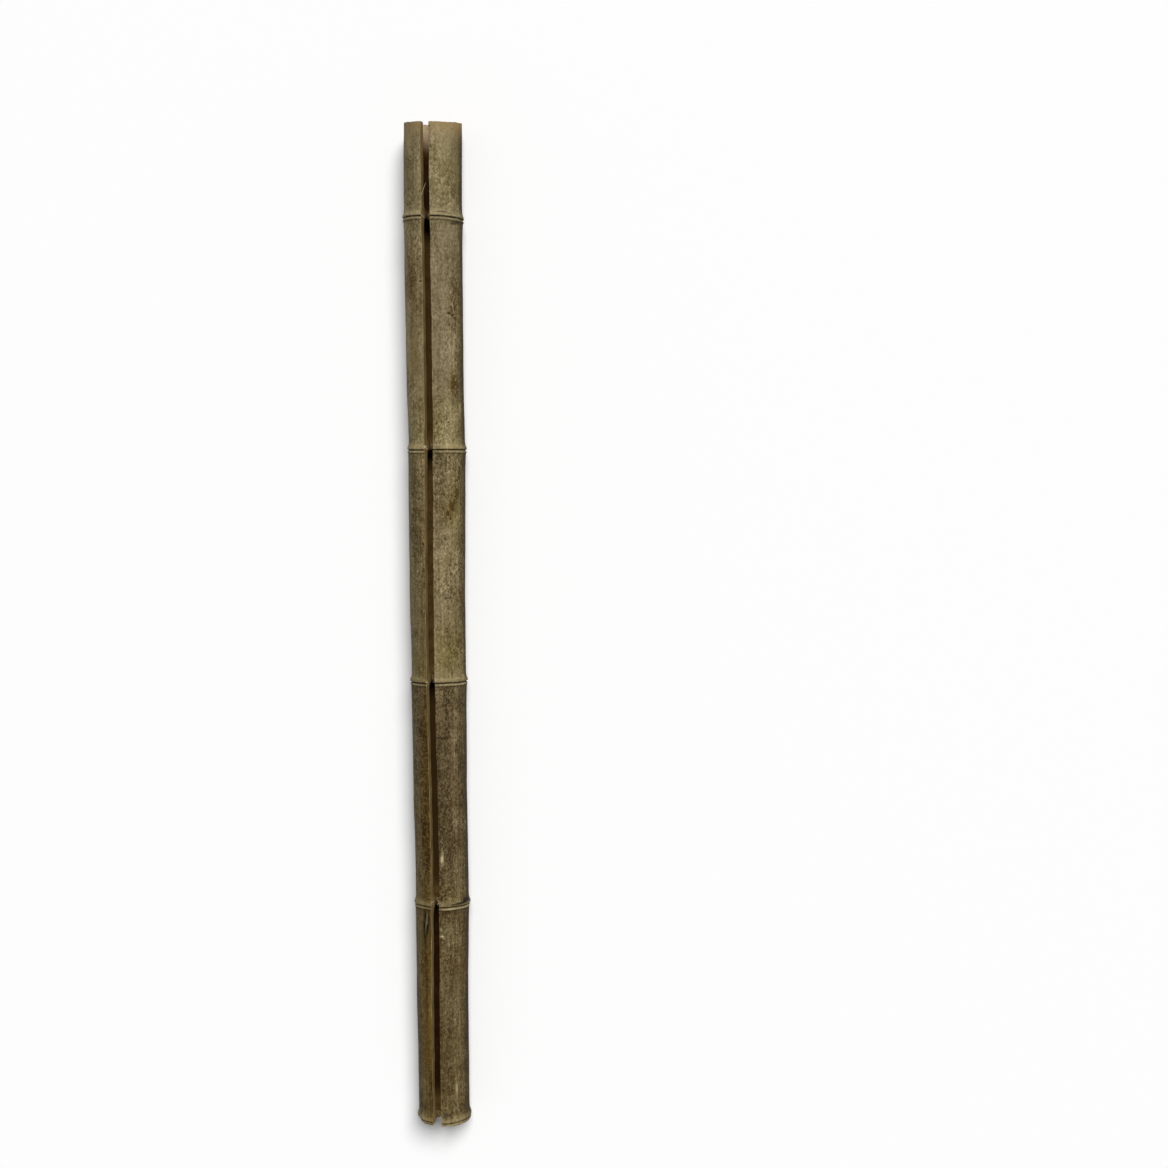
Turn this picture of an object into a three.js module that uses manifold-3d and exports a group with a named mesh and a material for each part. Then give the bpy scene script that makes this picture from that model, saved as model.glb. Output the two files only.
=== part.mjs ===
// A slotted bamboo pole: a three-foot cut of dry culm with five nodes. Its internodes are hollow, a
// diaphragm closes the culm at each node, and one saw kerf opens the wall along the whole length.
// Millimetres, +Z up. The pole lies along Y on two of its nodes, with its wide end at +Y and the kerf
// facing up. The origin is the middle of its footprint, on the surface that it lies on.
import * as THREE from 'three';
import { mergeVertices } from 'three/addons/utils/BufferGeometryUtils.js';
import Module from 'manifold-3d';

const wasm = await Module();
wasm.setup();

// Length of the pole along its axis, and where its nodes are, counted from the wide end
const POLE_LENGTH = 914;
const FIRST_NODE_FROM_WIDE_END = 82.6;
const INTERNODE_LENGTHS = [205, 211, 207.5, 204];

// Culm radius at both ends of each internode, from the wide end: the culm steps out past each node and
// thins towards the next one. The last row is the stub past the last node.
const CULM_RADII = [
  { start: 25.8, end: 25.8 },
  { start: 26.1, end: 25.4 },
  { start: 25.8, end: 24.8 },
  { start: 25.1, end: 24.2 },
  { start: 24.4, end: 23.5 },
  { start: 23.9, end: 23.9 },
];

// A node's outline: how far past the node's crest towards the narrow end, and how far proud of the culm.
// A swelling climbs to a blunt lip, the sheath groove drops away behind it, and a lower ridge follows.
const LIP_HEIGHT = 1.5;
const GROOVE_HEIGHT = 0.45;
const RIDGE_HEIGHT = 1;
const NODE_OUTLINE = [
  { past: -14, proud: 0 },
  { past: -6, proud: 0.2 },
  { past: -3.2, proud: 0.6 },
  { past: -1.2, proud: LIP_HEIGHT },
  { past: 1.2, proud: LIP_HEIGHT },
  { past: 1.9, proud: GROOVE_HEIGHT },
  { past: 2.5, proud: GROOVE_HEIGHT },
  { past: 3.3, proud: RIDGE_HEIGHT },
  { past: 4.6, proud: RIDGE_HEIGHT },
  { past: 6.4, proud: 0.3 },
  { past: 20, proud: 0 },
];

// How far on each side of a crest the culm takes to step out to its next internode
const STEP_REACH = 6;

// Wall thickness at the wide and the narrow end, and the diaphragms, whose middle lies a little before the
// crest of their node
const WALL_AT_WIDE_END = 8.4;
const WALL_AT_NARROW_END = 7.4;
const DIAPHRAGM_THICKNESS = 6;
const DIAPHRAGM_BEFORE_CREST = 1.5;
const DIAPHRAGM_FILLET = 7;

// Sideways sway of the axis at the wide end, at each node and at the narrow end, and the sideways bow of
// each internode between them
const AXIS_SWAY = [0.4, -0.2, 0.9, 0, 0.7, -0.1, -0.1];
const INTERNODE_BOW = [0, -0.6, -0.5, -0.3, -0.8, 0];

// The pole rests on the crests of its first and last node, each worn to a small flat, and arches a little
// between them
const FLAT_WEAR = 0.35;
const ARCH_RISE = 1.25;

// The saw kerf: its width, the height of its floor at the diaphragms, and how its middle wanders sideways
// along the pole
const KERF_WIDTH = 7.7;
const KERF_FLOOR = 34;
const KERF_WANDER = [
  { along: 480, aside: -0.1 },
  { along: 190, aside: 0.7 },
  { along: 0, aside: -0.7 },
  { along: -210, aside: 0.9 },
  { along: -400, aside: -0.8 },
  { along: -480, aside: -0.6 },
];

// The end cuts: how much the plane of each leans back along Y for each millimetre up and across. The cut
// at the wide end slants, so that the underside is longer than the top.
const WIDE_CUT_LEAN = { up: -0.107, across: -0.035 };
const NARROW_CUT_LEAN = { up: 0, across: -0.03 };

// How finely round shapes are divided
const CULM_SIDES = 36;
const CHAMBER_SIDES = 24;
const RINGS_PER_INTERNODE = 3;
const KERF_STEPS = 24;

// Spare length past the end cuts, and room for the cutting blocks
const SPARE = 14;
const BLOCK_WIDTH = 120;
const BLOCK_LENGTH = 60;
const BLOCK_HEIGHT = 160;

const wideEnd = POLE_LENGTH / 2;
const narrowEnd = -POLE_LENGTH / 2;
const nodes = [wideEnd - FIRST_NODE_FROM_WIDE_END];
for (const length of INTERNODE_LENGTHS) {
  nodes.push(nodes.at(-1) - length);
}
const lastNode = nodes.length - 1;

// Borders of the internodes, from the wide end to the narrow one
const borders = [wideEnd, ...nodes, narrowEnd];

// Which internode the height y along the pole lies in, and how far through it, from 0 to 1
function placeAlong(y) {
  let index = nodes.findIndex((node) => y >= node);
  if (index < 0) {
    index = nodes.length;
  }
  const share = (borders[index] - y) / (borders[index] - borders[index + 1]);
  return { index, share: THREE.MathUtils.clamp(share, 0, 1) };
}

// Radius of the plain culm, without its nodes' swellings
function culmRadius(y) {
  const { index, share } = placeAlong(y);
  const { start, end } = CULM_RADII[index];
  return THREE.MathUtils.lerp(start, end, share);
}

function wallThickness(y) {
  return THREE.MathUtils.lerp(WALL_AT_WIDE_END, WALL_AT_NARROW_END, (wideEnd - y) / POLE_LENGTH);
}

// Radius where a node's crest is highest: the mean of the culm before and after the node, plus the lip
function crestRadius(index) {
  return (CULM_RADII[index].end + CULM_RADII[index + 1].start) / 2 + LIP_HEIGHT;
}

// Height of the axis: the two resting crests are worn flat at the surface, with a low arch between them
function axisHeight(y) {
  const share = (nodes[0] - y) / (nodes[0] - nodes[lastNode]);
  const level = THREE.MathUtils.lerp(crestRadius(0), crestRadius(lastNode), share) - FLAT_WEAR;
  return level + ARCH_RISE * 4 * share * (1 - share);
}

// Sideways place of the axis: straight between nodes but for a slight bow
function axisSway(y) {
  const { index, share } = placeAlong(y);
  const straight = THREE.MathUtils.lerp(AXIS_SWAY[index], AXIS_SWAY[index + 1], share);
  return straight + INTERNODE_BOW[index] * Math.sin(Math.PI * share);
}

// Moves each point of a round body, modelled about Y, sideways and up to the pole's axis
function followAxis(geometry) {
  const points = geometry.attributes.position;
  for (let i = 0; i < points.count; i += 1) {
    const y = points.getY(i);
    points.setX(i, points.getX(i) + axisSway(y));
    points.setZ(i, points.getZ(i) + axisHeight(y));
  }
  return geometry;
}

// Makes a solid of a closed geometry
function toSolid(geometry) {
  geometry.deleteAttribute('normal');
  geometry.deleteAttribute('uv');
  const merged = mergeVertices(geometry);
  const mesh = new wasm.Mesh({
    numProp: 3,
    vertProperties: new Float32Array(merged.attributes.position.array),
    triVerts: new Uint32Array(merged.index.array),
  });
  return new wasm.Manifold(mesh);
}

// Makes a geometry of a solid
function toGeometry(solid) {
  const mesh = solid.getMesh();
  const geometry = new THREE.BufferGeometry();
  geometry.setAttribute('position', new THREE.BufferAttribute(mesh.vertProperties, 3));
  geometry.setIndex(new THREE.BufferAttribute(mesh.triVerts, 1));
  return geometry;
}

// A round body about Y, from its outline's points in order of rising y, with a flat side facing down
function turned(outline, sides) {
  return new THREE.LatheGeometry(outline, sides, Math.PI / sides, Math.PI * 2);
}

// The whole culm before any cut, its outline taken from the narrow end to the wide one
function culm() {
  const foot = narrowEnd - SPARE;
  const head = wideEnd + SPARE;
  const rings = [{ y: head, radius: culmRadius(head) }];
  nodes.forEach((node, index) => {
    for (let step = 1; step <= RINGS_PER_INTERNODE; step += 1) {
      const y = THREE.MathUtils.lerp(borders[index], node, step / (RINGS_PER_INTERNODE + 1));
      rings.push({ y, radius: culmRadius(y) });
    }
    const before = CULM_RADII[index].end;
    const after = CULM_RADII[index + 1].start;
    for (const { past, proud } of NODE_OUTLINE) {
      const stepped = THREE.MathUtils.smoothstep(past, -STEP_REACH, STEP_REACH);
      const y = node - past;
      if (y > foot) {
        rings.push({ y, radius: THREE.MathUtils.lerp(before, after, stepped) + proud });
      }
    }
  });
  rings.push({ y: foot, radius: culmRadius(foot) });
  const outline = rings.reverse().map(({ y, radius }) => new THREE.Vector2(radius, y));
  const closed = [new THREE.Vector2(0, foot), ...outline, new THREE.Vector2(0, head)];
  return followAxis(turned(closed, CULM_SIDES));
}

// The hollow of one internode between two heights, its ends rounded where they meet the diaphragms. An end
// that lies past a cut is open.
function chamber(low, high) {
  const fillet = Math.min(DIAPHRAGM_FILLET, (high - low) / 2);
  const bore = (y) => culmRadius(y) - wallThickness(y);
  const shoulder = fillet * (1 - Math.SQRT1_2);
  const outline = [
    new THREE.Vector2(0, low),
    new THREE.Vector2(bore(low) - fillet, low),
    new THREE.Vector2(bore(low) - shoulder, low + shoulder),
    new THREE.Vector2(bore(low), low + fillet),
    new THREE.Vector2(bore((low + high) / 2), (low + high) / 2),
    new THREE.Vector2(bore(high), high - fillet),
    new THREE.Vector2(bore(high) - shoulder, high - shoulder),
    new THREE.Vector2(bore(high) - fillet, high),
    new THREE.Vector2(0, high),
  ];
  return followAxis(turned(outline, CHAMBER_SIDES));
}

// The strip that the saw takes out: its outline seen from above, drawn up from the kerf's floor
function kerf() {
  const half = KERF_WIDTH / 2;
  const right = KERF_WANDER.map(({ along, aside }) => new THREE.Vector2(aside + half, along)).reverse();
  const left = KERF_WANDER.map(({ along, aside }) => new THREE.Vector2(aside - half, along));
  const outline = new THREE.Shape();
  outline.moveTo(right[0].x, right[0].y);
  outline.splineThru(right.slice(1));
  outline.lineTo(left[0].x, left[0].y);
  outline.splineThru(left.slice(1));
  const strip = new THREE.ExtrudeGeometry(outline, {
    depth: BLOCK_HEIGHT,
    curveSegments: KERF_STEPS,
    bevelEnabled: false,
  });
  return strip.translate(0, 0, KERF_FLOOR);
}

// The block that an end cut takes off, with its face through the axis at the height y
function endBlock(y, lean, outward) {
  const block = new THREE.BoxGeometry(BLOCK_WIDTH, BLOCK_LENGTH, BLOCK_HEIGHT);
  block.translate(0, (outward * BLOCK_LENGTH) / 2, 0);
  block.rotateX(-Math.atan(lean.up));
  block.rotateZ(Math.atan(lean.across));
  return block.translate(axisSway(y), y, axisHeight(y));
}

// What the surface wears off the two crests that the pole rests on
function wornUnderside() {
  const block = new THREE.BoxGeometry(BLOCK_WIDTH, POLE_LENGTH + 2 * BLOCK_LENGTH, BLOCK_HEIGHT);
  return block.translate(0, 0, -BLOCK_HEIGHT / 2);
}

function bamboo() {
  let solid = toSolid(culm());
  const diaphragms = nodes.map((node) => node + DIAPHRAGM_BEFORE_CREST);
  const highs = [wideEnd + SPARE, ...diaphragms.map((y) => y - DIAPHRAGM_THICKNESS / 2)];
  const lows = [...diaphragms.map((y) => y + DIAPHRAGM_THICKNESS / 2), narrowEnd - SPARE];
  lows.forEach((low, index) => {
    solid = solid.subtract(toSolid(chamber(low, highs[index])));
  });
  solid = solid.subtract(toSolid(kerf()));
  solid = solid.subtract(toSolid(endBlock(wideEnd, WIDE_CUT_LEAN, 1)));
  solid = solid.subtract(toSolid(endBlock(narrowEnd, NARROW_CUT_LEAN, -1)));
  return toGeometry(solid.subtract(toSolid(wornUnderside())));
}

// The middle of the footprint goes to the origin
const poleGeometry = bamboo();
poleGeometry.computeBoundingBox();
const middle = poleGeometry.boundingBox.getCenter(new THREE.Vector3());
poleGeometry.translate(-middle.x, -middle.y, -poleGeometry.boundingBox.min.z);
poleGeometry.computeVertexNormals();

const dryCulm = new THREE.MeshStandardMaterial({ color: '#786a4c', roughness: 0.6, metalness: 0 });
const pole = new THREE.Mesh(poleGeometry, dryCulm);
pole.name = 'bamboo_pole';

const part = new THREE.Group();
part.add(pole);
export default part;
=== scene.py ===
"""A slotted bamboo pole: one dry, weathered culm with five nodes, sawn off at both ends and slit along
its top.

The pole is modelled in millimetres, along Y and with its slit upwards. It is brought to metres, in the
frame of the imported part, when it is done.
"""
import math
import bpy
import numpy as np
from mathutils import Matrix, Vector


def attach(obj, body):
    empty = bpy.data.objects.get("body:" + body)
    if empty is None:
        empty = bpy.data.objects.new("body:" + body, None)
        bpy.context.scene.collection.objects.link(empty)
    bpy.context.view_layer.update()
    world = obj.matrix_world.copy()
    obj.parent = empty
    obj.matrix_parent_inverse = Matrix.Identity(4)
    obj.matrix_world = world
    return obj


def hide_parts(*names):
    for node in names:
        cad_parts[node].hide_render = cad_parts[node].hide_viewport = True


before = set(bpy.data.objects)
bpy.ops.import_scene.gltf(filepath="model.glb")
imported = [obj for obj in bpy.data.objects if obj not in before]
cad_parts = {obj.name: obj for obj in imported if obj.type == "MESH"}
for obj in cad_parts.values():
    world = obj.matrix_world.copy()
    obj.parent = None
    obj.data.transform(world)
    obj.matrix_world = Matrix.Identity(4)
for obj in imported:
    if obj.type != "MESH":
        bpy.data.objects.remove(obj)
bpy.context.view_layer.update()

MM = 0.001
FULL_TURN = 2 * math.pi

# The culm from its wide end to its narrow one: where its nodes lie, and the radius at the start and the
# end of each length between two nodes
POLE_LENGTH = 914.0
FIRST_NODE_FROM_WIDE_END = 82.6
INTERNODE_LENGTHS = (205.0, 211.0, 207.5, 204.0)
CULM_RADII = ((25.8, 25.8), (26.1, 25.4), (25.8, 24.8), (25.1, 24.2), (24.4, 23.5), (23.9, 23.9))
STEP_REACH = 6.0

# What stands proud at a node, as humps: height, place past the node's crest towards the narrow end, and
# how far the hump reaches before and after that place
SWELLING = (0.25, 0.8, 7.8, 0.9)
LIP = (1.25, 0.8, 3.0, 0.6)
RIDGE = (0.8, 3.4, 0.8, 1.4)
RIDGE_FOOT = (0.3, 3.8, 1.1, 8.0)
LIP_HEIGHT = 1.5

# How each node differs: the strength of its lip and ridge, and how far its ring leans along the pole at
# the top and at its right
NODE_LIPS = (0.95, 0.9, 1.0, 1.05, 0.95)
NODE_RIDGES = (1.0, 1.0, 0.9, 0.8, 0.9)
RING_LEAN = (0.4, 0.2, 1.2, 1.9, 0.3)
RING_TILT = (-0.7, 0.0, 0.3, 0.0, 0.0)
RING_HOLD = 12.0

# The axis: sideways place at the ends and the nodes, bow between them, and the low arch between the two
# crests that the pole rests on, which are worn flat
AXIS_SWAY = (0.4, -0.2, 0.9, 0.0, 0.7, -0.1, -0.1)
INTERNODE_BOW = (0.0, -0.6, -0.5, -0.3, -0.8, 0.0)
FLAT_WEAR = 0.35
ARCH_RISE = 1.25

# The wall, and the diaphragms that close each hollow
WALL_AT_WIDE_END = 8.4
WALL_AT_NARROW_END = 7.4
DIAPHRAGM_THICKNESS = 6.0
DIAPHRAGM_BEFORE_CREST = 1.5
DIAPHRAGM_FILLET = 7.0

# The saw kerf: its floor, how its middle wanders, how high its rows lie over the skin, the lowest being
# its floor, the length of its steps along the pole, and how far it runs each way
KERF_WIDTH = 7.7
KERF_FLOOR = 34.0
KERF_ALONG = (-480.0, -400.0, -210.0, 0.0, 190.0, 480.0)
KERF_ASIDE = (-0.6, -0.8, 0.9, -0.7, 0.7, -0.1)
KERF_ROWS = (-10.0, -8.0, -6.0, -4.5, -3.0, -2.0, -1.2, -0.6, -0.2, 0.4, 1.2, 4.0, 24.0)
KERF_STEP = 4.0
KERF_REACH = 480.0

# The kerf's edges: how far they are broken back, from how deep below the skin to how high over it, how
# much of that is worn on average and at least and most, and how rough the saw's teeth leave the sides
EDGE_BREAK = 0.8
EDGE_BREAK_DEPTH = 0.8
EDGE_BREAK_TOP = 0.4
EDGE_WEAR_MEAN = 0.5
EDGE_WEAR_LIMITS = (0.05, 1.4)
SAW_TOOTH = 0.06
SAW_TOOTH_SEED = 33

# The end cuts: how much each leans back along Y for a millimetre up and across, how rough they are, and
# the spacing and slant of the saw's strokes
WIDE_CUT_LEAN = (-0.107, -0.035)
NARROW_CUT_LEAN = (0.0, -0.03)
END_CUT_ROUGHNESS = 0.12
END_CUT_SEED = 41
STROKE_SPACING = 9.0
STROKE_SLANT = 0.4

# A corner of an end: where across the end a chip starts and where it is deepest, and how deep
WHOLE_CORNER = (0.0, 1.0, 0.0)
CHIPPED_CORNER = (-12.0, -26.0, 3.0)
CHIP_CURVE = 1.5

# The block that an end cut takes off, and how often its cutting face is divided
BLOCK_SIZE = (74.0, 60.0, 90.0)
BLOCK_CUTS = 47

# The two slits that a dead bud has left below the fourth node, with a sliver of skin between them: the
# place of each along the pole, its angle from the slot in degrees, its slant, and its width, length and
# depth
BUD_SLITS = (
    (-264.0, -25.2, -8.0, (1.8, 22.0, 4.0)),
    (-265.5, -17.2, -8.0, (1.6, 18.0, 3.6)),
)
SLIT_SIDES = 20
SLIT_RINGS = 14

# Unevenness as a sum of waves: its strength, its seed, how many waves go round the culm, and how long
# the waves along it are
RING_WAVER = (0.22, 3, (2, 3, 5), (97.0, 31.0))
BROAD_LUMPS = (0.16, 11, (1, 2, 3), (310.0, 170.0, 95.0))
SMALL_LUMPS = (0.07, 12, (4, 6, 9), (140.0, 60.0, 35.0))
BORE_LUMPS = (0.3, 21, (2, 3, 5), (120.0, 50.0))
EDGE_WEAR = (0.6, 31, (1, 2), (61.0, 23.0, 13.0))
SAW_WOBBLE = (0.14, 32, (1, 3), (83.0, 37.0))

# How finely the skin, the hollows and the internodes are divided, and how far they run past the ends
# before these are cut
CULM_SIDES = 132
BORE_SIDES = 72
FILLET_RINGS = 6
INTERNODE_STEP = 4.0
BORE_STEP = 8.0
SPARE = 14.0

# The rings at a node and at a small mark that needs them: from where past it, to where, and their step
NODE_RINGS = (
    (-13.0, -4.0, 1.0), (-4.0, -0.4, 0.4), (-0.4, 4.6, 0.22), (4.6, 7.0, 0.4), (7.0, 14.0, 1.0),
)
MARK_RINGS = (-3.0, 3.5, 1.0)
FINE_MARKS = (-205.0, -263.0, -270.0, -276.5, -423.0)

# Distances within which points are the same, under which an edge is a sliver left by a cut, and within
# which a point lies on a block's face
SAME_PLACE = 0.004
SLIVER = 0.002
NEAR = 0.01

SMOOTH_ANGLE = math.radians(40)

# From the middle of the axis to the middle of the footprint
FOOTPRINT_MIDDLE = (0.174, 1.081)

WIDE_END = POLE_LENGTH / 2
NARROW_END = -POLE_LENGTH / 2
NODES = WIDE_END - FIRST_NODE_FROM_WIDE_END - np.concatenate([[0.0], np.cumsum(INTERNODE_LENGTHS)])
BORDERS = np.concatenate([[WIDE_END], NODES, [NARROW_END]])


# Form of the culm

def bell(x, middle, before, after):
    """A rounded hump of height 1 at its middle, falling off over the widths before and after it."""
    width = np.where(x < middle, before, after)
    return np.exp(-(((x - middle) / width) ** 2))


def waves(around, along, pattern):
    """Unevenness round and along the culm, without a seam, mostly within its strength."""
    strength, seed, lobes, lengths = pattern
    dice = np.random.default_rng(seed)
    total = 0.0
    for lobe in lobes:
        for length in lengths:
            lean = dice.choice((-1.0, 1.0))
            start = dice.uniform(0.0, FULL_TURN)
            total = total + np.sin(lobe * around + lean * FULL_TURN * along / length + start)
    return strength * (total / math.sqrt(len(lobes) * len(lengths)))


def of_each(values, index):
    """The value of each point's own node or internode."""
    return np.asarray(values)[index]


def through(along, places, values):
    """Straight lines through values that are given from the wide end to the narrow one."""
    return np.interp(along, np.asarray(places)[::-1], np.asarray(values)[::-1])


def culm_radius(along):
    """Radius of the plain culm, stepping at each node to that of the next internode."""
    places = [WIDE_END]
    radii = [CULM_RADII[0][0]]
    for node, before, after in zip(NODES, CULM_RADII, CULM_RADII[1:]):
        places += [node + STEP_REACH, node - STEP_REACH]
        radii += [before[1], after[0]]
    return through(along, places, radii)


def nearest_node(along):
    """Which node is nearest, and how far past it towards the narrow end."""
    index = np.abs(np.subtract.outer(np.asarray(along), NODES)).argmin(axis=-1)
    return index, NODES[index] - along


def proud(along):
    """How far the node's lip and ridge stand over the plain culm."""
    index, past = nearest_node(along)
    lips = of_each(NODE_LIPS, index)
    ridges = of_each(NODE_RIDGES, index)
    raised = 0.0
    for (height, place, before, after), strength in (
        (SWELLING, 1.0), (LIP, lips), (RIDGE, ridges), (RIDGE_FOOT, 1.0),
    ):
        raised = raised + strength * height * bell(past, place, before, after)
    return raised


def ring_shift(around, along):
    """How far a node's ring is shifted along the pole: each leans a little and wavers."""
    index, past = nearest_node(along)
    lean = of_each(RING_LEAN, index) * np.cos(around) + of_each(RING_TILT, index) * np.sin(around)
    waver = waves(around, NODES[index], RING_WAVER)
    return (lean + waver) * bell(past, 0.0, RING_HOLD, RING_HOLD)


def crest_radius(index):
    """Radius at the lip of a node."""
    return (CULM_RADII[index][1] + CULM_RADII[index + 1][0]) / 2 + LIP_HEIGHT


def axis_height(along):
    """Height of the axis: the first and last crests lie on the surface, and it arches between them."""
    share = (NODES[0] - along) / (NODES[0] - NODES[-1])
    level = crest_radius(0) + (crest_radius(len(NODES) - 1) - crest_radius(0)) * share - FLAT_WEAR
    return level + ARCH_RISE * 4 * share * (1 - share)


def axis_sway(along):
    """Sideways place of the axis."""
    straight = through(along, BORDERS, AXIS_SWAY)
    bowed = 0.0
    for high, low, bow in zip(BORDERS, BORDERS[1:], INTERNODE_BOW):
        share = np.clip((high - along) / (high - low), 0.0, 1.0)
        bowed = bowed + bow * np.sin(math.pi * share)
    return straight + bowed


def wall_thickness(along):
    return through(along, (WIDE_END, NARROW_END), (WALL_AT_WIDE_END, WALL_AT_NARROW_END))


def kerf_middle(along):
    """Sideways place of the kerf's middle, on a smooth curve through its stated points."""
    places = np.asarray(KERF_ALONG)
    values = np.asarray(KERF_ASIDE)
    slopes = np.gradient(values, places)
    left = np.clip(np.searchsorted(places, along) - 1, 0, len(places) - 2)
    span = places[left + 1] - places[left]
    t = np.clip((along - places[left]) / span, 0.0, 1.0)
    rise = (2 * t ** 3 - 3 * t ** 2 + 1) * values[left] + (3 * t ** 2 - 2 * t ** 3) * values[left + 1]
    lean = (t ** 3 - 2 * t ** 2 + t) * slopes[left] + (t ** 3 - t ** 2) * slopes[left + 1]
    return rise + span * lean


# Modelling

def deselect():
    bpy.ops.object.select_all(action="DESELECT")


def choose(piece):
    deselect()
    piece.select_set(True)
    bpy.context.view_layer.objects.active = piece


def edit(piece):
    choose(piece)
    bpy.ops.object.mode_set(mode="EDIT")


def leave():
    bpy.ops.object.mode_set(mode="OBJECT")


def settle():
    """Puts the selected piece's place, turn and scale into its mesh."""
    bpy.ops.object.transform_apply(location=True, rotation=True, scale=True)


def draw_out(shift):
    """Extrudes what is selected."""
    bpy.ops.mesh.extrude_region_move(TRANSFORM_OT_translate={"value": shift})


def close_up():
    """Leaves edit mode with all faces pointing outwards."""
    bpy.ops.mesh.select_all(action="SELECT")
    bpy.ops.mesh.normals_make_consistent(inside=False)
    leave()


def turned(name, outline, sides):
    """A round body about Y, drawn out ring by ring from a disc. Its outline gives each ring's place and
    radius."""
    (last_place, last_radius), *rings = outline
    deselect()
    bpy.ops.mesh.primitive_circle_add(
        vertices=sides, radius=last_radius, fill_type="NGON",
        location=(0, last_place, 0), rotation=(math.radians(90), 0, 0),
    )
    body = bpy.context.active_object
    body.name = name
    settle()
    edit(body)
    bpy.ops.mesh.select_all(action="SELECT")
    for place, radius in rings:
        draw_out((0, place - last_place, 0))
        ratio = radius / last_radius
        bpy.ops.transform.resize(value=(ratio, 1, ratio), center_override=(0, place, 0))
        last_place = place
        last_radius = radius
    close_up()
    return body


def points_of(piece):
    """The piece's points as three columns."""
    points = np.empty(len(piece.data.vertices) * 3)
    piece.data.vertices.foreach_get("co", points)
    return points.reshape(-1, 3).T


def reshape(piece, x, y, z):
    piece.data.vertices.foreach_set("co", np.stack([x, y, z], axis=1).ravel())
    piece.data.update()


def join(pieces):
    deselect()
    for piece in pieces:
        piece.select_set(True)
    bpy.context.view_layer.objects.active = pieces[0]
    bpy.ops.object.join()
    return pieces[0]


def cut(body, tool):
    """Takes the tool's form out of the body. The cut faces keep the tool's material."""
    choose(body)
    taken = body.modifiers.new("cut", "BOOLEAN")
    taken.operation = "DIFFERENCE"
    taken.solver = "MANIFOLD"
    taken.material_mode = "TRANSFER"
    taken.object = tool
    bpy.ops.object.modifier_apply(modifier=taken.name)
    bpy.data.objects.remove(tool, do_unlink=True)


def culm_rings():
    """Where the culm's rings lie: close together at the nodes and wider apart between them."""
    near = np.concatenate([np.arange(*stretch) for stretch in NODE_RINGS])
    places = [near_place for node in NODES for near_place in node - near]
    highs = np.concatenate([[WIDE_END + SPARE], NODES - near[-1]])
    lows = np.concatenate([NODES - near[0], [NARROW_END - SPARE]])
    for high, low in zip(highs, lows):
        count = max(2, int(abs(high - low) / INTERNODE_STEP) + 1)
        places += list(np.linspace(high, low, count))
    for mark in FINE_MARKS:
        places += list(mark + np.arange(*MARK_RINGS))
    foot = NARROW_END - SPARE
    return np.unique(np.round([place for place in places if place >= foot], 3))


def whole_culm():
    """The culm before any cut, with its nodes, slow lumps and slight crookedness."""
    rings = culm_rings()
    radii = culm_radius(rings) + proud(rings)
    body = turned("bamboo_culm", list(zip(rings, radii)), CULM_SIDES)
    x, y, z = points_of(body)
    around = np.arctan2(x, z)
    radius = np.hypot(x, z) + waves(around, y, BROAD_LUMPS) + waves(around, y, SMALL_LUMPS)
    y = y + ring_shift(around, y)
    reshape(body, radius * np.sin(around) + axis_sway(y), y, radius * np.cos(around) + axis_height(y))
    return body


def chamber(low, high):
    """The hollow of one internode, its ends rounded where they meet the diaphragms."""
    fillet = min(DIAPHRAGM_FILLET, (high - low) / 2)
    turns = np.linspace(0.0, math.pi / 2, FILLET_RINGS)
    places = list(low + fillet * (1 - np.cos(turns)))
    insets = list(fillet * (1 - np.sin(turns)))
    middle = np.linspace(low + fillet, high - fillet, max(3, int((high - low) / BORE_STEP)))[1:-1]
    places += list(middle) + list(high - fillet * (1 - np.cos(turns[::-1])))
    insets += [0.0] * len(middle) + list(fillet * (1 - np.sin(turns[::-1])))
    places = np.asarray(places)
    radii = culm_radius(places) - wall_thickness(places) - np.asarray(insets)
    body = turned("hollow", list(zip(places, radii)), BORE_SIDES)
    x, y, z = points_of(body)
    around = np.arctan2(x, z)
    radius = np.hypot(x, z) + waves(around, y, BORE_LUMPS)
    reshape(body, radius * np.sin(around) + axis_sway(y), y, radius * np.cos(around) + axis_height(y))
    return body


def chambers():
    """The hollows of all internodes, those at the ends running out past the end cuts."""
    diaphragms = NODES + DIAPHRAGM_BEFORE_CREST
    highs = [WIDE_END + SPARE, *(diaphragms - DIAPHRAGM_THICKNESS / 2)]
    lows = [*(diaphragms + DIAPHRAGM_THICKNESS / 2), NARROW_END - SPARE]
    return join([chamber(low, high) for low, high in zip(lows, highs)])


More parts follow.
